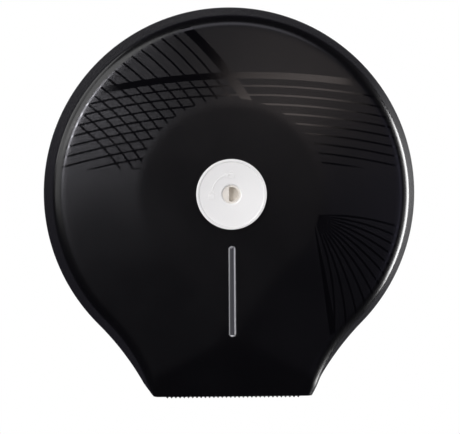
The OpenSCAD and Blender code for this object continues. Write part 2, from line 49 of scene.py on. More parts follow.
# %% [markdown]
# The camera comes first, because every finish is judged through it. A long lens from about a
# metre and a half keeps the round cover round, as a catalogue view does. The camera stands a
# little to the left and above, and it is rolled by less than a degree, as a hand-held one is.
# Aiming it by angles, and not by a constraint, keeps each number easy to change.

# %% Camera
LENS, SENSOR = 170.6, 36.0
SIGHT_LENGTH = 1.60
SIGHT_TURN = math.radians(0.85)
SIGHT_DROP = math.radians(0.5)
AIM_TURN = math.radians(0.872)
AIM_DROP = math.radians(1.135)
ROLL = math.radians(-0.45)


def heading(turn, drop):
    """Direction into the scene, turned to the right and dropped below the horizon."""
    level = math.cos(drop)
    return Vector((math.sin(turn) * level, math.cos(turn) * level, -math.sin(drop)))


camera_data = bpy.data.cameras.new("camera")
camera_data.lens = LENS
camera_data.sensor_width = SENSOR
camera = bpy.data.objects.new("camera", camera_data)
bpy.context.scene.collection.objects.link(camera)
camera.location = -SIGHT_LENGTH * heading(SIGHT_TURN, SIGHT_DROP)
camera.rotation_mode = "QUATERNION"
camera.rotation_quaternion = (
    heading(AIM_TURN, AIM_DROP).to_track_quat("-Z", "Y")
    @ Matrix.Rotation(ROLL, 3, "Z").to_quaternion()
)
bpy.context.scene.camera = camera
bpy.context.scene.view_settings.view_transform = "Standard"
print("camera at", [round(v, 3) for v in camera.location])

# %% [markdown]
# Every finish here is made of a few shared effects: a fine moulded grain, a cloudy change in
# gloss, and dust. Each is a node group, built once and placed in each material with its own
# values. These helpers keep the node code short: one adds a node with its settings, and the
# others add a sum, a product, the highest of some values, a smooth step or a noise. A long list
# of links by hand would hide what the finish does.

# %% Helpers for node trees
def add(tree, kind, inputs=None, **settings):
    """A new node, with its settings and with values or links for its inputs."""
    node = tree.nodes.new(kind)
    for key, value in settings.items():
        setattr(node, key, value)
    for key, value in (inputs or {}).items():
        if isinstance(value, bpy.types.NodeSocket):
            tree.links.new(value, node.inputs[key])
        else:
            node.inputs[key].default_value = value
    return node


def sums(tree, operation, a, b=None, c=None):
    """Output of a Math node."""
    given = {i: v for i, v in enumerate((a, b, c)) if v is not None}
    return add(tree, "ShaderNodeMath", given, operation=operation).outputs[0]


def product(tree, first, *others):
    """Output of a chain of multiplications."""
    for other in others:
        first = sums(tree, "MULTIPLY", first, other)
    return first


def highest(tree, first, *others):
    """Output of the highest of several values."""
    for other in others:
        first = sums(tree, "MAXIMUM", first, other)
    return first


def ramp(tree, value, low, high, start=0.0, end=1.0):
    """Smooth step of a value from low to high."""
    node = add(tree, "ShaderNodeMapRange", {0: value, 1: low, 2: high, 3: start, 4: end})
    node.interpolation_type = "SMOOTHSTEP"
    return node.outputs[0]


def new_group(name, inputs, outputs):
    """An empty node group with named sockets, and its input and output nodes."""
    tree = bpy.data.node_groups.new(name, "ShaderNodeTree")
    for label, kind, value in inputs:
        socket = tree.interface.new_socket(name=label, in_out="INPUT", socket_type=kind)
        if value is not None:
            socket.default_value = value
    for label, kind in outputs:
        tree.interface.new_socket(name=label, in_out="OUTPUT", socket_type=kind)
    return tree, tree.nodes.new("NodeGroupInput").outputs, tree.nodes.new("NodeGroupOutput").inputs


def noise(tree, vector, scale, detail):
    """Output of a noise texture."""
    given = {"Vector": vector, "Scale": scale, "Detail": detail}
    return add(tree, "ShaderNodeTexNoise", given).outputs[0]


VALUE, VECTOR = "NodeSocketFloat", "NodeSocketVector"

# %% [markdown]
# Satin mouldings are never quite smooth. The steel mould is etched, so the plastic has a grain
# of a few tenths of a millimetre, with longer, shallower waves from cooling. The group puts out
# a height for a Bump node and a mask of slow change. Three noises do this with no image, and they
# read Object coordinates, so the grain stays in place when the piece swings open.

# %% Effect: moulded grain
grain, gi, go = new_group(
    "moulded_grain",
    [("Vector", VECTOR, None), ("Size", VALUE, 0.0004), ("Waves", VALUE, 0.3)],
    [("Height", VALUE), ("Cloud", VALUE)],
)
WAVE_SCALE, CLOUD_SCALE = 60.0, 22.0
fine = noise(grain, gi["Vector"], sums(grain, "DIVIDE", 1.0, gi["Size"]), 2.0)
wave = noise(grain, gi["Vector"], WAVE_SCALE, 1.0)
cloud = noise(grain, gi["Vector"], CLOUD_SCALE, 3.0)
waves = product(grain, wave, gi["Waves"])
grain.links.new(sums(grain, "ADD", fine, waves), go["Height"])
grain.links.new(ramp(grain, cloud, 0.3, 0.7), go["Cloud"])
print("effect made:", grain.name)

# %% [markdown]
# A dispenser in use picks up a little dust on faces that look up, and fine scuffs where hands
# and keys pass. The dust mask is a noise over the upward part of the normal. The scuffs are thin
# polished scratches, made by stretching a noise along one direction and keeping its peaks.

# %% Effect: dust and scuffs
dust, gi, go = new_group(
    "dust_and_scuffs",
    [("Vector", VECTOR, None), ("Amount", VALUE, 0.3)],
    [("Dust", VALUE), ("Scuffs", VALUE)],
)
SPECK_SCALE, WEAR_SCALE = 700.0, 35.0
STREAK_TURN, STREAK_SCALE = (0.0, 0.6, 0.0), (60.0, 900.0, 1600.0)
facing = add(dust, "ShaderNodeNewGeometry").outputs["Normal"]
upward = add(dust, "ShaderNodeSeparateXYZ", {0: facing}).outputs["Z"]
specks = noise(dust, gi["Vector"], SPECK_SCALE, 3.0)
dusted = product(dust, ramp(dust, upward, 0.1, 1.0), ramp(dust, specks, 0.45, 0.75), gi["Amount"])
dust.links.new(dusted, go["Dust"])
stretched = add(dust, "ShaderNodeMapping", {"Vector": gi["Vector"], "Rotation": STREAK_TURN,
                                            "Scale": STREAK_SCALE}).outputs[0]
streaks = noise(dust, stretched, 1.0, 1.0)
worn = noise(dust, gi["Vector"], WEAR_SCALE, 2.0)
scuffed = product(dust, ramp(dust, streaks, 0.66, 0.74), ramp(dust, worn, 0.5, 0.65),
                  gi["Amount"])
dust.links.new(scuffed, go["Scuffs"])
print("effect made:", dust.name)

# %% [markdown]
# The front carries a common ornament of thin gloss lines on the satin ground. Polished lines in
# a mould do this: they have the same colour as the ground and only shine differently. Two families
# are evenly spaced arcs, each about its own centre and beside one wide stripe, and a third opens
# like a fan. Distances to three centres give them with plain sums, so no picture is needed.

# %% Effect: gloss lines
LINE_FADE = 0.15
lines, gi, go = new_group("gloss_lines", [("Vector", VECTOR, None)], [("Mask", VALUE)])
place = add(lines, "ShaderNodeSeparateXYZ", {0: gi["Vector"]}).outputs


def distance_to(x, z):
    """Distance on the front from a point given in millimetres."""
    flat = add(lines, "ShaderNodeCombineXYZ", {0: place["X"], 2: place["Z"]}).outputs[0]
    ends = {0: flat, 1: (x * MM, 0.0, z * MM)}
    return add(lines, "ShaderNodeVectorMath", ends, operation="DISTANCE").outputs["Value"]


def thin_line(off, half_width):
    """Mask of a line from the distance to its middle and half its width."""
    return ramp(lines, off, half_width * MM, (half_width + LINE_FADE) * MM, 1.0, 0.0)


def stripe(distance, radius, width):
    """One line of the given width along an arc of the given radius."""
    off = sums(lines, "ABSOLUTE", sums(lines, "SUBTRACT", distance, radius * MM))
    return thin_line(off, width / 2)


def arcs(distance, outer, count, gap, width):
    """Evenly spaced thin lines inside an arc of the given radius."""
    steps = sums(lines, "DIVIDE", sums(lines, "SUBTRACT", outer * MM, distance), gap * MM)
    off = product(lines, sums(lines, "PINGPONG", steps, 0.5), gap * MM)
    low = sums(lines, "GREATER_THAN", steps, 0.5)
    high = sums(lines, "LESS_THAN", steps, count + 0.5)
    return product(lines, thin_line(off, width / 2), low, high)


def fan(x, z, first, last, count, curl, width, spread=0.03):
    """Lines that leave a point between two directions in degrees, and curl with distance."""
    away = distance_to(x, z)
    side = sums(lines, "SUBTRACT", place["X"], x * MM)
    rise = sums(lines, "SUBTRACT", place["Z"], z * MM)
    turn = sums(lines, "ADD", sums(lines, "ARCTAN2", rise, side), product(lines, away, curl))
    step = math.radians((last - first) / max(count - 1, 1))
    steps = sums(lines, "DIVIDE", sums(lines, "SUBTRACT", turn, math.radians(first)), step)
    off = product(lines, sums(lines, "PINGPONG", steps, 0.5), abs(step), away)
    half = sums(lines, "MINIMUM", product(lines, away, spread), width / 2 * MM)
    low = sums(lines, "GREATER_THAN", steps, -0.5)
    high = sums(lines, "LESS_THAN", steps, count - 0.5)
    return product(lines, thin_line(sums(lines, "SUBTRACT", off, half), 0.0), low, high)


ARCHED_X, ARCHED_Z, ARCHED_R, ARCHED_BAND_R = 10.0, -420.0, 500.0, 501.0
SLANTED_X, SLANTED_Z, SLANTED_R, SLANTED_BAND_R = -190.0, -60.0, 234.6, 236.0
FAN_X, FAN_Z = 55.0, -15.0
axis_distance = distance_to(0.0, 0.0)
arched = distance_to(ARCHED_X, ARCHED_Z)
slanted = distance_to(SLANTED_X, SLANTED_Z)
band = product(lines, stripe(arched, ARCHED_BAND_R, 4.4),
               ramp(lines, place["X"], -93 * MM, -72 * MM),
               ramp(lines, place["X"], 74 * MM, 88 * MM, 1.0, 0.0))
net = highest(lines, band, arcs(arched, ARCHED_R, 10, 6.2, 1.1))
slants = highest(lines, stripe(slanted, SLANTED_BAND_R, 6.0),
                 arcs(slanted, SLANTED_R, 13, 7.4, 1.15))
upper = product(lines, highest(lines, net, slants), ramp(lines, place["Z"], 16 * MM, 20 * MM),
                ramp(lines, axis_distance, 64.5 * MM, 66 * MM))
lower = product(lines, highest(lines, fan(FAN_X, FAN_Z, 3.0, -65.0, 12, 3.2, 1.2),
                               fan(FAN_X, FAN_Z, -78.5, -73.5, 1, 0.4, 4.0)),
                ramp(lines, axis_distance, 60.5 * MM, 62 * MM))
inside_edge = ramp(lines, axis_distance, 117.5 * MM, 118.5 * MM, 1.0, 0.0)
front_only = ramp(lines, place["Y"], -102 * MM, -100 * MM, 1.0, 0.0)
lines.links.new(product(lines, highest(lines, upper, lower), inside_edge, front_only), go["Mask"])
print("effect made:", lines.name)

# %% [markdown]
# Materials share one recipe: a Principled shader whose colour, roughness and normal come from
# the effects, while every value that is the same all over sits on the shader's own socket. A
# function makes each one from a few numbers, so that all plastics and all metals are related.
# The bar of the window is the exception: its edges carry a painted highlight, paler than its
# middle and weaker at the left and the top, standing in for the light that runs along inside clear
# plastic and leaves it at its edges.

# %% Materials
DUST_COLOUR = (0.42, 0.4, 0.37, 1.0)
LINE_POLISH, SCUFF_POLISH, DUST_ROUGHNESS = -0.16, -0.12, 0.5
# The painted highlight on the bar is weaker at its left and top edges.
WEAK_PAINTED_HIGHLIGHT = 0.4


def mixed(tree, factor, a, b):
    """Output of a colour mix."""
    node = add(tree, "ShaderNodeMix", {0: factor, 6: a, 7: b}, data_type="RGBA")
    return node.outputs[2]


def bar_painted_highlight(tree, spot):
    """Mask of the painted highlight along the sides and ends of the window's bar."""
    place = add(tree, "ShaderNodeSeparateXYZ", {0: spot}).outputs
    left = ramp(tree, place["X"], -1.4 * MM, -2.0 * MM, 0.0, WEAK_PAINTED_HIGHLIGHT)
    right = ramp(tree, place["X"], 1.0 * MM, 1.7 * MM)
    top = ramp(tree, place["Z"], -36.6 * MM, -36.0 * MM, 0.0, WEAK_PAINTED_HIGHLIGHT)
    bottom = ramp(tree, place["Z"], -95.6 * MM, -96.4 * MM)
    return highest(tree, left, right, top, bottom)


def surface(name, colour, rough, rough_spread=0.06, grain_size=0.0004, bump=0.1, waves=0.3,
            second=None, dusty=0.2, metal=0.0, gloss_lines=False, painted_highlight_colour=None, **plain):
    """A moulded or metal finish with grain, cloudy gloss, dust and scuffs, and a painted highlight
    on a bar's edges when its colour is given.
    """
    material = bpy.data.materials.new(name)
    material.use_nodes = True
    tree = material.node_tree
    tree.nodes.clear()
    spot = add(tree, "ShaderNodeTexCoord").outputs["Object"]
    skin = add(tree, "ShaderNodeGroup", node_tree=grain)
    tree.links.new(spot, skin.inputs["Vector"])
    skin.inputs["Size"].default_value = grain_size
    skin.inputs["Waves"].default_value = waves
    use = add(tree, "ShaderNodeGroup", node_tree=dust)
    tree.links.new(spot, use.inputs["Vector"])
    use.inputs["Amount"].default_value = dusty
    base = mixed(tree, skin.outputs["Cloud"], (*colour, 1.0), (*(second or colour), 1.0))
    # Painted highlight: the bar's edges are mixed towards a near-white colour.
    if painted_highlight_colour:
        base = mixed(tree, bar_painted_highlight(tree, spot), base, (*painted_highlight_colour, 1.0))
    base = mixed(tree, use.outputs["Dust"], base, DUST_COLOUR)
    spread = product(tree, skin.outputs["Cloud"], rough_spread)
    roughness = sums(tree, "ADD", spread, rough - rough_spread / 2)
    if gloss_lines:
        line = add(tree, "ShaderNodeGroup", node_tree=lines)
        tree.links.new(spot, line.inputs["Vector"])
        roughness = sums(tree, "MULTIPLY_ADD", line.outputs["Mask"], LINE_POLISH, roughness)
    roughness = sums(tree, "MULTIPLY_ADD", use.outputs["Scuffs"], SCUFF_POLISH, roughness)
    roughness = sums(tree, "MULTIPLY_ADD", use.outputs["Dust"], DUST_ROUGHNESS, roughness)
    bumps = add(tree, "ShaderNodeBump", {"Height": skin.outputs["Height"], "Strength": bump,
                                         "Distance": grain_size})
    shader = add(tree, "ShaderNodeBsdfPrincipled", {
        "Base Color": base, "Roughness": roughness, "Metallic": metal, "Normal": bumps.outputs[0],
        **plain})
    add(tree, "ShaderNodeOutputMaterial", {0: shader.outputs[0]})
    return material


# After the colour come the roughness, its spread, the grain's size in metres and the bump.
cover_black = surface("cover_black", (0.0010, 0.0009, 0.0013), 0.255, 0.03, 0.0005, 0.035,
                      second=(0.0013, 0.0012, 0.0016), dusty=0.01, gloss_lines=True)
trim_black = surface("trim_black", (0.003, 0.003, 0.0032), 0.35, 0.06, 0.0005, 0.1, dusty=0.01)
plate_grey = surface("plate_grey", (0.02, 0.021, 0.022), 0.5, 0.1, 0.0006, 0.2,
                     second=(0.026, 0.027, 0.028), dusty=0.3)
white_bezel = surface("white_bezel", (0.86, 0.855, 0.825), 0.36, 0.06, 0.0004, 0.06,
                      second=(0.84, 0.835, 0.805), dusty=0.06)
white_frame = surface("white_frame", (0.74, 0.74, 0.71), 0.45, 0.08, 0.0006, 0.12,
                      second=(0.70, 0.70, 0.67), dusty=0.25)
key_beige = surface("key_beige", (0.82, 0.78, 0.70), 0.4, 0.06, 0.0004, 0.08,
                    second=(0.77, 0.72, 0.63), dusty=0.04)
nylon = surface("nylon", (0.72, 0.70, 0.64), 0.5, 0.08, 0.0005, 0.1, dusty=0.1)
zinc = surface("zinc", (0.62, 0.62, 0.60), 0.3, 0.12, 0.0008, 0.12, metal=1.0,
               second=(0.52, 0.52, 0.50), dusty=0.1)
spring_steel = surface("spring_steel", (0.30, 0.30, 0.31), 0.35, 0.1, 0.0006, 0.1, metal=1.0,
                       dusty=0.05)
lens_smoke = surface("lens_smoke", (0.38, 0.39, 0.41), 0.07, 0.02, 0.0015, 0.02, dusty=0.02,
                     **{"Transmission Weight": 0.9, "IOR": 1.58})
# The window bar's finish has a painted highlight along its edges.
lens_painted_highlight = surface("lens_painted_highlight", (0.085, 0.086, 0.092), 0.07, 0.02, 0.0015, 0.02, dusty=0.02,
                   painted_highlight_colour=(0.98, 0.98, 1.0), **{"Transmission Weight": 0.35, "IOR": 1.58})
print("materials:", sorted(m.name for m in bpy.data.materials if m.users or m.node_tree))

# %% [markdown]
# New pieces are made in a bmesh and then finished the same way: doubles merged, normals turned
# outwards, smooth shading with the true corners kept sharp, a body to ride on and its finish. A
# round piece is a profile spun about the lock's axis, and its ring edges are bevelled, because a
# moulded corner always has a small radius that catches the light.

# %% Helpers for pieces
def chain(bm, points, closed=True):
    """Vertices and edges through the given points."""
    verts = [bm.verts.new(p) for p in points]
    ends = verts[1:] + verts[:1] if closed else verts[1:]
    return verts, [bm.edges.new(pair) for pair in zip(verts, ends)]


def soften(bm, width, segments=2, angle=35.0):
    """Rounds every edge that is sharper than the angle."""
    sharp = [e for e in bm.edges if len(e.link_faces) == 2
             and e.calc_face_angle(0.0) > math.radians(angle)]
    bmesh.ops.bevel(bm, geom=sharp, offset=width, offset_type="OFFSET", segments=segments,
                    profile=0.5, affect="EDGES", material=-1, clamp_overlap=True)


def piece(bm, name, body, slot, material, *replaced, sharp=40.0):
    """Turns a bmesh into a finished piece of the object."""
    bmesh.ops.remove_doubles(bm, verts=bm.verts, dist=1e-6)
    bmesh.ops.recalc_face_normals(bm, faces=bm.faces)
    mesh = bpy.data.meshes.new(name)
    bm.to_mesh(mesh)
    bm.free()
    mesh.shade_smooth()
    mesh.set_sharp_from_angle(angle=math.radians(sharp))
    thing = bpy.data.objects.new(name, mesh)
    bpy.context.scene.collection.objects.link(thing)
    mesh.materials.append(material)
    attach(thing, body)
    if replaced:
        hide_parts(*replaced)
    print(f"{name}: {len(mesh.polygons)} faces")


def turned(profile, steps=96, soft=0.25, segments=2):
    """A bmesh of a closed (radius, depth) profile in millimetres, spun about the lock's axis."""
    bm = bmesh.new()
    verts, edges = chain(bm, [(r * MM, -p * MM, 0.0) for r, p in profile])
    bmesh.ops.spin(bm, geom=verts + edges, cent=(0, 0, 0), axis=(0, 1, 0), angle=2 * math.pi,
                   steps=steps, use_merge=True)
    bmesh.ops.remove_doubles(bm, verts=bm.verts, dist=1e-6)
    bmesh.ops.recalc_face_normals(bm, faces=bm.faces)
    if soft:
        soften(bm, soft * MM, segments)
    return bm


# %% [markdown]
# The cover is one thin moulding with the outline of a pin: a round head whose sides turn into
# hollow flanks. Its edge has one cross section all the way round: a straight band, a steep side,
# a rounded shoulder and a face that rises slowly to the flat middle. So one profile is spun
# about the lock for the round part and about the flank's own centre for the flank. The half is
# trimmed by two planes and mirrored. Sculpting or a plain extrusion would lose that edge.

# %% The cover's cross section
BODY_R, FLANK_R, LIP, LIP_HALF = 135.0, 200.0, 138.5, 63.3
DEPTH, WALL, RIM_GAP, BAND = 116.0, 2.6, 3.0, 12.0
SHOULDER_INSET, SHOULDER_R, SLOPE, FLAT_R = 13.4, 8.5, math.radians(4.5), 62.0
BEND_DROP, BEND_R, LEAN = 89.0, 121.0, math.radians(9.0)
BAND_STEPS, SIDE_STEPS, ROUND_STEPS, FACE_STEPS = 3, 8, 12, 40

corner_depth = DEPTH - (BODY_R - FLAT_R - SHOULDER_INSET) * math.tan(SLOPE)
side_lean = math.atan2(SHOULDER_INSET, corner_depth - BAND)
side_normal = Vector((math.cos(side_lean), -math.sin(side_lean)))
face_normal = Vector((math.sin(SLOPE), -math.cos(SLOPE)))
shoulder_centre = Vector((SHOULDER_INSET, corner_depth)) + SHOULDER_R * (
    side_normal + face_normal) / (1 + side_normal.dot(face_normal))


def edge_profile():
    """Inset from the outline and depth, from the rear edge to the lock's axis."""
    points = [(0.0, RIM_GAP + (BAND - RIM_GAP) * i / BAND_STEPS) for i in range(BAND_STEPS + 1)]
    start = shoulder_centre - SHOULDER_R * side_normal
    points += [(start.x * i / SIDE_STEPS, BAND + (start.y - BAND) * i / SIDE_STEPS)
               for i in range(1, SIDE_STEPS)]
    turn = math.pi / 2 - side_lean - SLOPE
    for i in range(ROUND_STEPS + 1):
        angle = math.pi - side_lean - turn * i / ROUND_STEPS
        points.append((shoulder_centre.x + SHOULDER_R * math.cos(angle),
                       shoulder_centre.y + SHOULDER_R * math.sin(angle)))
    last = points[-1][0]
    for i in range(1, FACE_STEPS + 1):
        inset = last + (BODY_R - last) * i / FACE_STEPS
        points.append((inset, corner_depth + (inset - SHOULDER_INSET) * math.tan(SLOPE)))
    return points


def front_depth(drop):
    """Depth of the flat front and its chin at a drop below the lock."""
    if drop <= BEND_DROP:
        return DEPTH
    bend_end = BEND_DROP + BEND_R * math.sin(LEAN)
    if drop <= bend_end:
        return DEPTH - BEND_R + math.sqrt(BEND_R ** 2 - (drop - BEND_DROP) ** 2)
    return DEPTH - BEND_R + BEND_R * math.cos(LEAN) - (drop - bend_end) * math.tan(LEAN)


def soft_min(a, b, reach):
    """The lower of two values, with their crossing rounded over the given reach."""
    h = max(reach - abs(a - b), 0.0) / reach
    return min(a, b) - h * h * reach / 4


print("shoulder centre", [round(v, 2) for v in shoulder_centre])
print("cross section:", len(edge_profile()), "points")

# %% [markdown]
# The flank's circle touches the round part on the line that joins their centres, so both spins
# share that line and meet without a step. The soft creases round the flat middle and the chin
# come from moving each point to a rounded minimum of the two forms, which is quicker and more
# even than bevelling a long curved crease.

# %% Half of the cover, spun and mirrored
corner = Vector((LIP_HALF, -LIP))
reach = BODY_R + FLANK_R
along = (corner.length_squared + reach ** 2 - FLANK_R ** 2) / (2 * corner.length)
across = math.sqrt(reach ** 2 - along ** 2)
toward = corner.normalized()
flank_centre = along * toward + across * Vector((-toward.y, toward.x))
neck = math.atan2(flank_centre.y, flank_centre.x)

LIP_FLARE, FLARE_DEPTH, FLARE_KEEP, FLARE_FADE = 5.2, 100.0, 16.0, 34.0
BODY_SPIN_STEPS, FLANK_SPIN_STEPS = 64, 34
FLANK_TURN = math.radians(23.5)
CREASE_ROUND = 0.25


def neck_turn(point):
    """Angle about the flank's centre from the neck line, for a point of the right-hand flank."""
    spoke = point - flank_centre
    return math.atan2(-spoke.y, -spoke.x) - neck


def flare(point, depth):
    """Sideways widening of the front towards the corners of the lip."""
    down = min(max(neck_turn(point) / lip_turn, 0.0), 1.0)
    forward = min(max((depth - BAND) / (FLARE_DEPTH - BAND), 0.0), 1.0)
    inset = (point - flank_centre).length - FLANK_R
    edge = 1.0 - min(max((inset - FLARE_KEEP) / FLARE_FADE, 0.0), 1.0)
    return LIP_FLARE * down ** 2 * forward * edge ** 2 * (3.0 - 2.0 * edge)


cover = bmesh.new()
verts, edges = chain(cover, [(0.0, -p * MM, (BODY_R - s) * MM) for s, p in edge_profile()],
                     closed=False)
bmesh.ops.spin(cover, geom=verts + edges, cent=(0, 0, 0), axis=(0, 1, 0),
               angle=math.pi / 2 - neck, steps=BODY_SPIN_STEPS)
out = Vector((math.cos(neck), 0.0, math.sin(neck)))
verts, edges = chain(cover, [out * (BODY_R - s) * MM + Vector((0.0, -p * MM, 0.0))
                             for s, p in edge_profile()], closed=False)
bmesh.ops.spin(cover, geom=verts + edges, cent=(flank_centre.x * MM, 0, flank_centre.y * MM),
               axis=(0, 1, 0), angle=-FLANK_TURN, steps=FLANK_SPIN_STEPS)
bmesh.ops.remove_doubles(cover, verts=cover.verts, dist=1e-6)
for point, outward in (((0, 0, 0), (-1, 0, 0)), ((0, 0, -LIP * MM), (0, 0, -1))):
    bmesh.ops.bisect_plane(cover, geom=cover.verts[:] + cover.edges[:] + cover.faces[:], dist=1e-7,
                           plane_co=point, plane_no=outward, clear_outer=True)
lip_turn = neck_turn(Vector((LIP_HALF, -LIP)))
for v in cover.verts:
    v.co.x += flare(Vector((v.co.x, v.co.z)) / MM, -v.co.y / MM) * MM
    v.co.y = -soft_min(-v.co.y / MM, front_depth(-v.co.z / MM), CREASE_ROUND) * MM
bmesh.ops.mirror(cover, geom=cover.verts[:] + cover.edges[:] + cover.faces[:],
                 matrix=Matrix.Identity(4), merge_dist=1e-6, axis="X")
bmesh.ops.remove_doubles(cover, verts=cover.verts, dist=1e-6)
bmesh.ops.dissolve_degenerate(cover, edges=cover.edges, dist=1e-6)
bmesh.ops.recalc_face_normals(cover, faces=cover.faces)
if sum(f.normal.y for f in cover.faces) > 0:
    bmesh.ops.reverse_faces(cover, faces=cover.faces)
print("cover skin:", len(cover.faces), "faces, neck at", round(math.degrees(neck), 2), "degrees")

# %% [markdown]
# The skin now gets its wall by Solidify, inwards, so that the outside keeps its size. The lock
# hole, the window slot and the rounded rear corners by the hinge are cut with Booleans, because
# they cross the mesh's own lines. The cutters are bmeshes too, and they are removed afterwards.
# A last narrow bevel rounds the rim and the cut edges.

# %% The cover's wall and its openings
def temporary(bm, name):
    """An object that is only used to cut or to be cut."""
    mesh = bpy.data.meshes.new(name)
    bmesh.ops.recalc_face_normals(bm, faces=bm.faces)
    bm.to_mesh(mesh)
    bm.free()
    thing = bpy.data.objects.new(name, mesh)
    bpy.context.scene.collection.objects.link(thing)
    return thing


def swept(outline, direction):
    """A closed prism: an outline of points, filled and extruded."""
    bm = bmesh.new()
    verts, _ = chain(bm, outline)
    face = bm.faces.new(verts)
    moved = bmesh.ops.extrude_face_region(bm, geom=[face])
    tops = [v for v in moved["geom"] if isinstance(v, bmesh.types.BMVert)]
    bmesh.ops.translate(bm, verts=tops, vec=direction)
    return bm


def slot_outline(half_width, top, bottom, depth, steps=16):
    """Points of an upright slot with round ends, below the lock, at one depth."""
    points = []
    for centre, start in ((-top - half_width, 0.0), (half_width - bottom, math.pi)):
        for i in range(steps + 1):
            angle = start + math.pi * i / steps
            points.append((half_width * MM * math.cos(angle), -depth * MM,
                           (centre + half_width * math.sin(angle)) * MM))
    return points


HINGE_DEPTH, HINGE_Z, HINGE_CLEAR = 10.5, -130.5, 9.5
LOCK_HOLE_R, HOLE_STEPS, CORNER_STEPS = 12.2, 96, 12
SLOT_HALF, SLOT_TOP, SLOT_BOTTOM = 2.6, 35.0, 97.4
CUT_START, CUT_THROUGH = 100.0, (0, -0.03, 0)
CUT_SIDE, CUT_BELOW, CUT_BEHIND = 0.2, -0.15, 0.001
hole = [(LOCK_HOLE_R * MM * math.cos(a), -CUT_START * MM, LOCK_HOLE_R * MM * math.sin(a))
        for a in (2 * math.pi * i / HOLE_STEPS for i in range(HOLE_STEPS))]
corner_arc = [(-CUT_SIDE, -(HINGE_DEPTH - HINGE_CLEAR * math.cos(a)) * MM,
               (HINGE_Z - HINGE_CLEAR * math.sin(a)) * MM)
              for a in (math.pi / 2 * i / CORNER_STEPS for i in range(CORNER_STEPS + 1))]
corner_arc += [(-CUT_SIDE, -HINGE_DEPTH * MM, CUT_BELOW), (-CUT_SIDE, CUT_BEHIND, CUT_BELOW),
               (-CUT_SIDE, CUT_BEHIND, HINGE_Z * MM)]
slot = slot_outline(SLOT_HALF, SLOT_TOP, SLOT_BOTTOM, CUT_START)
cutters = [temporary(swept(hole, CUT_THROUGH), "cut_hole"),
           temporary(swept(slot, CUT_THROUGH), "cut_slot"),
           temporary(swept(corner_arc, (2 * CUT_SIDE, 0, 0)), "cut_corner")]
shell = temporary(cover, "shell")
wall = shell.modifiers.new("wall", "SOLIDIFY")
wall.thickness = WALL * MM
wall.offset = -1.0
wall.use_even_offset = True
for cutter in cutters:
    cut = shell.modifiers.new(cutter.name, "BOOLEAN")
    cut.operation = "DIFFERENCE"
    cut.solver = "EXACT"
    cut.object = cutter
bpy.context.view_layer.update()
ready = shell.evaluated_get(bpy.context.evaluated_depsgraph_get())
cover = bmesh.new()
cover.from_mesh(ready.to_mesh())
ready.to_mesh_clear()
for thing in [shell] + cutters:
    bpy.data.objects.remove(thing)
bmesh.ops.remove_doubles(cover, verts=cover.verts, dist=2e-6)
soften(cover, 0.35 * MM, segments=2, angle=42.0)
piece(cover, "cover_shell", "cover", "cover_plastic", cover_black, "front_cover")

# %% [markdown]
# Inside, the cover carries a collar that shields the lock's nut, a seat that the tear blade is
# screwed to, and two lugs for the hinge pins. They are small moulded blocks on the same wall.

# %% Collar, blade seat and hinge lugs
COLLAR_IN, COLLAR_OUT, COLLAR_START, COLLAR_END = 20, 22, 108.4, 114.6
SEAT_SIZE, SEAT_MIDDLE = Vector((92.8, 12.0, 2.2)), Vector((0.0, 7.0, -0.9))
LUG_R, BORE_R, LUG_START, BORE_END, LUG_END, LUG_CUT = 5.5, 2.55, 56.0, 61.2, 74.0, 66.7
collar = turned([(COLLAR_IN, COLLAR_START), (COLLAR_OUT, COLLAR_START),
                 (COLLAR_OUT, COLLAR_END), (COLLAR_IN, COLLAR_END)], steps=96, soft=0.3)
piece(collar, "cover_collar", "cover", "cover_plastic", trim_black)

inner_lip = DEPTH - BEND_R + (BEND_R - WALL) * math.cos(LEAN) - (
    LIP - BEND_DROP - (BEND_R - WALL) * math.sin(LEAN)) * math.tan(LEAN)


def on_chin(point):
    """A point (across, up, out) of the chin's inner face at the lip, in the object's frame."""
    local = Matrix.Rotation(LEAN, 4, "X") @ point
    return Vector((local.x * MM, -(inner_lip + local.z) * MM, (-LIP + local.y) * MM))


seat = bmesh.new()
bmesh.ops.create_cube(seat, size=1.0)
for v in seat.verts:
    v.co = on_chin(SEAT_MIDDLE + v.co * SEAT_SIZE)
bmesh.ops.recalc_face_normals(seat, faces=seat.faces)
soften(seat, 0.3 * MM)
piece(seat, "blade_seat", "cover", "cover_plastic", trim_black)


def hinge_lug(side, name):
    """A lug with a blind bore, cut to the slant of the flank."""
    bm = bmesh.new()
    profile = [(LUG_START, BORE_R), (LUG_START, LUG_R), (LUG_END, LUG_R), (LUG_END, 0.0),
               (BORE_END, 0.0), (BORE_END, BORE_R)]
    verts, edges = chain(bm, [(x * MM, -HINGE_DEPTH * MM, (HINGE_Z + r) * MM) for x, r in profile])
    bmesh.ops.spin(bm, geom=verts + edges, cent=(0, -HINGE_DEPTH * MM, HINGE_Z * MM),
                   axis=(1, 0, 0), angle=2 * math.pi, steps=48, use_merge=True)
    bmesh.ops.remove_doubles(bm, verts=bm.verts, dist=1e-6)
    slant = Vector((flank_centre.x - LUG_CUT, 0, flank_centre.y - HINGE_Z)).normalized()
    bmesh.ops.bisect_plane(bm, geom=bm.verts[:] + bm.edges[:] + bm.faces[:], dist=1e-7,
                           plane_co=(LUG_CUT * MM, 0, HINGE_Z * MM), plane_no=slant,
                           clear_outer=True)
    rim = [e for e in bm.edges if e.is_boundary]
    bmesh.ops.holes_fill(bm, edges=rim)
    if side < 0:
        bmesh.ops.scale(bm, vec=(-1, 1, 1), verts=bm.verts)
    bmesh.ops.recalc_face_normals(bm, faces=bm.faces)
    soften(bm, 0.3 * MM)
    piece(bm, name, "cover", "cover_plastic", trim_black)


hinge_lug(-1, "lug_left")
hinge_lug(1, "lug_right")
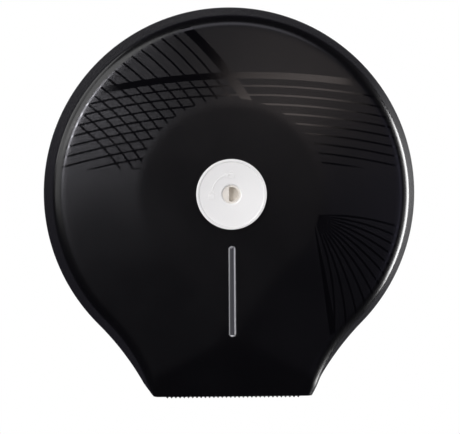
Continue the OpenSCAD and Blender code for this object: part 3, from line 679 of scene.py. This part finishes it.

# %% [markdown]
# The window's lens is a clear bar with a flange behind the wall. Its front edges are rounded with
# a wide bevel: a clear piece shows mostly by the thin bright line that a lamp leaves along such an
# edge, and a flat-topped block would look like paint. The bar takes the finish with a painted
# highlight along its edges, and the flange behind it the plain smoky one.

# %% Window lens
LENS_BACK, LENS_FRONT, LENS_ROUND, LENS_PLAY = 113.0, 117.0, 2.1, 0.05
FLANGE_BACK, FLANGE_T, FLANGE_LAP = 111.8, 1.2, 1.8
bar = swept(slot_outline(SLOT_HALF - LENS_PLAY, SLOT_TOP + LENS_PLAY, SLOT_BOTTOM - LENS_PLAY,
                         LENS_BACK), (0, -(LENS_FRONT - LENS_BACK) * MM, 0))
bmesh.ops.recalc_face_normals(bar, faces=bar.faces)
front_rim = [e for e in bar.edges if all(v.co.y < -(LENS_FRONT - 0.1) * MM for v in e.verts)]
bmesh.ops.bevel(bar, geom=front_rim, offset=LENS_ROUND * MM, offset_type="OFFSET", segments=6,
                profile=0.5, affect="EDGES", material=-1, clamp_overlap=True)
piece(bar, "lens_bar", "cover", "lens_clear", lens_painted_highlight, "window_lens")
flange = swept(slot_outline(SLOT_HALF + FLANGE_LAP, SLOT_TOP - FLANGE_LAP,
                            SLOT_BOTTOM + FLANGE_LAP, FLANGE_BACK), (0, -FLANGE_T * MM, 0))
bmesh.ops.recalc_face_normals(flange, faces=flange.faces)
soften(flange, 0.2 * MM)
piece(flange, "lens_flange", "cover", "lens_clear", lens_smoke)

# %% [markdown]
# The lock's bezel is a white disc with a thin raised edge and a barrel behind it. It is lathed
# from one profile. Its only marks are generic: an arrow along a quarter arc, with an open
# padlock where it starts and a closed one where it ends, moulded a hair above the face.

# %% Lock bezel
FACE, EDGE_H, CHAMFER = 118.2, 0.6, 1.0
BEZEL_R, EDGE_TOP_R, EDGE_FOOT_R, KEYHOLE_R = 24.0, 22.3, 22.0, 6.1
PLUG_BORE_R, CLIP_GROOVE_R, BARREL_R = 8.06, 8.86, 12.0
CLIP_FRONT, CLIP_BACK, BARREL_END = 106.0, 105.0, 104.2
MARK_R, MARK_H, MARK_SUNK = 13.5, 0.22, 0.1
PADLOCK, SHACKLE = (4.2, 3.2), (1.1, 1.7)
bezel = turned([
    (BEZEL_R, DEPTH), (BEZEL_R, FACE + EDGE_H), (EDGE_TOP_R, FACE + EDGE_H), (EDGE_FOOT_R, FACE),
    (KEYHOLE_R + CHAMFER, FACE), (KEYHOLE_R, FACE - CHAMFER), (PLUG_BORE_R, FACE - CHAMFER),
    (PLUG_BORE_R, CLIP_FRONT), (CLIP_GROOVE_R, CLIP_FRONT), (CLIP_GROOVE_R, CLIP_BACK),
    (PLUG_BORE_R, CLIP_BACK), (PLUG_BORE_R, BARREL_END), (BARREL_R, BARREL_END), (BARREL_R, DEPTH)
], steps=128, soft=0.22, segments=3)
piece(bezel, "bezel_disc", "cover", "bezel_plastic", white_bezel, "lock_bezel")


def raised(outline, name):
    """A moulded mark on the bezel's face, from points in millimetres."""
    bm = swept([(x * MM, -(FACE - MARK_SUNK) * MM, z * MM) for x, z in outline],
               (0, -(MARK_H + MARK_SUNK) * MM, 0))
    bmesh.ops.recalc_face_normals(bm, faces=bm.faces)
    soften(bm, 0.07 * MM, segments=1, angle=60.0)
    piece(bm, name, "cover", "bezel_plastic", white_bezel)


def ring_part(x, z, inner, outer, start, end, steps=24):
    """Outline of a part of a ring, between two directions in degrees."""
    angles = [math.radians(start + (end - start) * i / steps) for i in range(steps + 1)]
    points = [(x + outer * math.cos(a), z + outer * math.sin(a)) for a in angles]
    return points + [(x + inner * math.cos(a), z + inner * math.sin(a)) for a in reversed(angles)]


def block(x, z, width, height):
    """Outline of an upright block about its middle."""
    w, h = width / 2, height / 2
    return [(x - w, z - h), (x + w, z - h), (x + w, z + h), (x - w, z + h)]


raised(ring_part(0, 0, MARK_R - 0.4, MARK_R + 0.4, 168, 108, 30), "mark_arc")
raised([(MARK_R * math.cos(math.radians(a)) + dx, MARK_R * math.sin(math.radians(a)) + dz)
        for a, dx, dz in ((104, 2.4, 0.0), (109, 0.0, 1.5), (109, 0.0, -1.5))], "mark_arrow")
raised(block(-13.8, -1.3, *PADLOCK), "mark_open_lock")
raised(ring_part(-13.1, 0.8, *SHACKLE, 180, 20, 12), "mark_open_shackle")
raised(block(0.0, 12.6, *PADLOCK), "mark_closed_lock")
raised(ring_part(0.0, 14.3, *SHACKLE, 180, 0, 12), "mark_closed_shackle")

# %% [markdown]
# The other nodes have the right shape already, so each keeps its mesh and gets its finish.

# %% Finishes for the frame's own pieces
finishes = {
    plate_grey: ["back_plate"],
    white_frame: ["spindle_post", "roll_hub", "ring_nut"],
    nylon: ["thrust_washer"],
    zinc: ["catch_plate", "post_screws", "catch_screws", "blade_screws", "cam_screw", "lock_cam",
           "hinge_pin_left", "hinge_pin_right"],
    spring_steel: ["spring_washer", "circlip"],
    key_beige: ["lock_plug"],
    lens_smoke: ["window_lens"],
    trim_black: ["tear_blade"],
}
for material, names in finishes.items():
    for name in names:
        places = nodes[name].material_slots
        for finish_place in places:
            finish_place.material = material
        if not places:
            nodes[name].data.materials.append(material)
print("finished nodes:", sum(len(n) for n in finishes.values()))

# %% [markdown]
# The object hangs on a wall in use, and here it hangs high over a plain pale floor, with nothing
# behind it. The white background is the world's colour for the rays that the camera and glass
# see. Mirrored rays see the white only straight behind the object, and a dim studio elsewhere,
# because a glossy black cover would turn grey if it mirrored white from every side. All other
# rays find a plain grey room, which keeps the white pieces white. The floor fades into the
# background, so no edge shows.

# %% Floor and world
FLOOR_R, FLOOR_Y, FLOOR_Z = 0.34, -0.05, -0.6
FADE_START, FADE_END = 0.16, 0.32
STRAIGHT_BEHIND, BEHIND_START, BEHIND_END = (-0.01, 0.9993, 0.035), 0.986, 0.999
ROOM_LIGHT, ROOM_MIRRORED = (0.36, 0.358, 0.366, 1), (0.017, 0.016, 0.022, 1)
WHITE, FLOOR_COLOUR = (1, 1, 1, 1), (0.86, 0.86, 0.86, 1.0)
floor_bm = bmesh.new()
bmesh.ops.create_circle(floor_bm, cap_ends=True, segments=96, radius=FLOOR_R)
bmesh.ops.translate(floor_bm, verts=floor_bm.verts, vec=(0, FLOOR_Y, FLOOR_Z))
floor_mesh = bpy.data.meshes.new("floor")
floor_bm.to_mesh(floor_mesh)
floor_bm.free()
floor = bpy.data.objects.new("floor", floor_mesh)
bpy.context.scene.collection.objects.link(floor)

pale = bpy.data.materials.new("pale_floor")
pale.use_nodes = True
tree = pale.node_tree
tree.nodes.clear()
spot = add(tree, "ShaderNodeTexCoord").outputs["Object"]
flat_spot = add(tree, "ShaderNodeVectorMath", {0: spot, 1: (1, 1, 0)}, operation="MULTIPLY")
away = add(tree, "ShaderNodeVectorMath", {0: flat_spot.outputs[0], 1: (0, FLOOR_Y, 0)},
           operation="DISTANCE")
fade = ramp(tree, away.outputs["Value"], FADE_START, FADE_END)
path = add(tree, "ShaderNodeLightPath").outputs
seen = highest(tree, path["Is Camera Ray"], path["Is Glossy Ray"], path["Is Transmission Ray"])
matt = add(tree, "ShaderNodeBsdfDiffuse", {"Color": FLOOR_COLOUR})
glow = add(tree, "ShaderNodeEmission", {"Color": WHITE, "Strength": 1.0})
joined = add(tree, "ShaderNodeMixShader", {0: product(tree, fade, seen),
                                           1: matt.outputs[0], 2: glow.outputs[0]})
add(tree, "ShaderNodeOutputMaterial", {0: joined.outputs[0]})
floor_mesh.materials.append(pale)

world = bpy.data.worlds.new("studio")
bpy.context.scene.world = world
world.use_nodes = True
tree = world.node_tree
tree.nodes.clear()
path = add(tree, "ShaderNodeLightPath").outputs
direction = add(tree, "ShaderNodeTexCoord").outputs["Generated"]
ahead = add(tree, "ShaderNodeVectorMath", {0: direction, 1: STRAIGHT_BEHIND},
            operation="DOT_PRODUCT").outputs["Value"]
mirrored = product(tree, path["Is Glossy Ray"], ramp(tree, ahead, BEHIND_START, BEHIND_END))
seen = highest(tree, path["Is Camera Ray"], mirrored, path["Is Transmission Ray"])
room_colour = mixed(tree, path["Is Glossy Ray"], ROOM_LIGHT, ROOM_MIRRORED)
room = add(tree, "ShaderNodeBackground", {"Color": room_colour, "Strength": 1.0})
white = add(tree, "ShaderNodeBackground", {"Color": WHITE, "Strength": 1.0})
joined = add(tree, "ShaderNodeMixShader", {0: seen, 1: room.outputs[0], 2: white.outputs[0]})
add(tree, "ShaderNodeOutputWorld", {0: joined.outputs[0]})
print("floor and world made")

# %% [markdown]
# A black cover shows almost nothing of its own colour, so each lamp is placed for what the cover
# mirrors. The key at the upper left lights the whole object and leaves a broad glow on the
# satin. A small warm card just over the camera is seen only by the sharper gloss lines, which
# makes them pale on that side. A cool card at the right and a panel above lift the face a
# little. The wash and the edge panel draw the left and upper shoulder, and the bright window
# behind the right side draws the thin highlight along the right edge. The dim cards beside it and
# the one behind the left side soften where that light ends, also for someone who walks round.

# %% Lamps
TARGET = Vector((0, -0.1, 0))


def soft_box(name, turn, lift, far, width, height, radiance, colour=(1, 1, 1)):
    """A lamp at a turn to the right and a lift, in degrees, from straight in front of the object.

    The radiance is how bright the lamp's face looks, so its power grows with its area.
    """
    turn, lift = math.radians(turn), math.radians(lift)
    data = bpy.data.lights.new(name, "AREA")
    data.shape = "RECTANGLE"
    data.size, data.size_y = width, height
    data.color = colour
    data.energy = radiance * math.pi * width * height
    lamp = bpy.data.objects.new(name, data)
    bpy.context.scene.collection.objects.link(lamp)
    level = math.cos(lift)
    away = Vector((math.sin(turn) * level, -math.cos(turn) * level, math.sin(lift)))
    lamp.location = TARGET + far * away
    lamp.rotation_mode = "QUATERNION"
    lamp.rotation_quaternion = (-away).to_track_quat("-Z", "Y")


soft_box("key", -25.5, 12, 2.0, 0.42, 0.42, 19.0, (0.93, 0.92, 1.0))
soft_box("top_panel", 5, 38, 2.0, 1.0, 0.8, 1.5, (0.9, 0.88, 1.0))
soft_box("warm_card", 7, 10.7, 2.0, 0.42, 0.23, 1.9, (1.0, 0.88, 0.84))
soft_box("right_card", 32, -1, 2.0, 0.8, 0.8, 0.6, (0.72, 0.7, 1.0))
soft_box("left_wash", -70, 10, 1.6, 1.6, 0.8, 1.3)
soft_box("rear_left", -114, 27, 1.6, 1.3, 1.1, 1.0)
soft_box("edge_panel", -50, 33, 1.6, 1.5, 1.1, 2.2)
soft_box("window", 109, -3, 1.3, 0.75, 1.2, 14.0)
soft_box("window_edge", 79, -3, 1.3, 0.55, 1.2, 0.7)
soft_box("window_far", 140, 0, 1.3, 0.9, 0.7, 0.3)

# %% [markdown]
# Last, the view layer is updated, so that every piece stands in its final place.

# %% Update the scene
bpy.context.view_layer.update()
